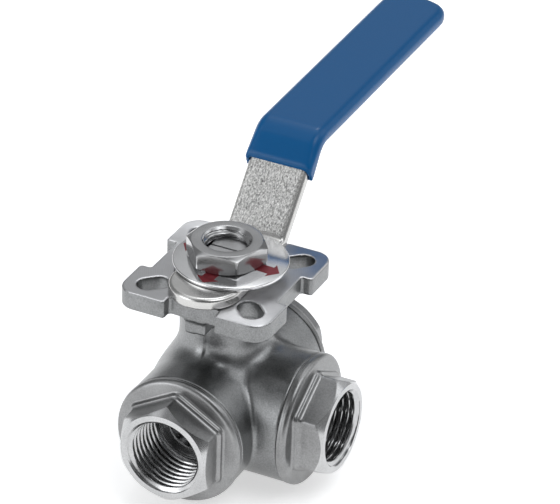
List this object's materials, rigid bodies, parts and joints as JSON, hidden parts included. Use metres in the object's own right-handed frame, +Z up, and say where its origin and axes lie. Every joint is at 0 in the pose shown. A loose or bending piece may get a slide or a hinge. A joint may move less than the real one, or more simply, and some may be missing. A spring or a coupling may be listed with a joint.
{
  "type": "three-way ball valve",
  "caption": "Compact three-way T-port stainless ball valve with screwed end caps, a square actuator pad, a flow indicator disc and a bent lever in a blue sleeve.",
  "frame": {"origin": "centre of the actuator pad's top face, on the stem axis", "axes": "+Z up the stem, away from the ball; +Y towards the rear port and along the lever at rest; +X towards the right-hand port"},
  "size_m": [0.0556, 0.1525, 0.0832],
  "materials": {
    "cast_stainless": "investment cast stainless steel, bead blasted, with the pad's top and the flange faces machined",
    "turned_stainless": "stainless steel, turned bright",
    "polished_stainless": "stainless steel, polished",
    "sheet_stainless": "stainless steel plate, tumbled",
    "ptfe": "waxy PTFE",
    "seal_rubber": "fluoroelastomer",
    "blue_vinyl": "dipped vinyl sleeve, satin"
  },
  "bodies": {
    "valve": {"valve_body": "cast_stainless", "front_end_cap": "turned_stainless", "right_end_cap": "turned_stainless", "rear_end_cap": "turned_stainless", "front_cap_gasket": "ptfe", "right_cap_gasket": "ptfe", "rear_cap_gasket": "ptfe", "front_ball_seat": "ptfe", "right_ball_seat": "ptfe", "rear_ball_seat": "ptfe", "left_ball_seat": "ptfe", "stem_thrust_washer": "ptfe", "lower_packing_ring": "ptfe", "middle_packing_ring": "ptfe", "upper_packing_ring": "ptfe", "gland_ring": "turned_stainless"},
    "stem_and_lever": {"stem": "turned_stainless", "stem_o_ring": "seal_rubber", "lower_disc_spring": "sheet_stainless", "upper_disc_spring": "sheet_stainless", "gland_nut": "polished_stainless", "tab_washer": "sheet_stainless", "stop_plate": "sheet_stainless", "lever": "sheet_stainless", "lever_sleeve": "blue_vinyl", "indicator_disc": "polished_stainless", "lever_nut": "polished_stainless"},
    "ball": {"ball": "polished_stainless"}
  },
  "joints": [
    {"name": "lever_turn", "type": "hinge", "parent": "valve", "child": "stem_and_lever", "pos_m": [0, 0, 0], "axis": [0, 0, 1], "range_deg": [-90, 0]},
    {"name": "ball_turn", "type": "hinge", "parent": "valve", "child": "ball", "pos_m": [0, 0, -0.037], "axis": [0, 0, 1], "range_deg": [-90, 0]}
  ],
  "couplings": [
    {"joint": "ball_turn", "follows": "lever_turn", "ratio": 1}
  ]
}
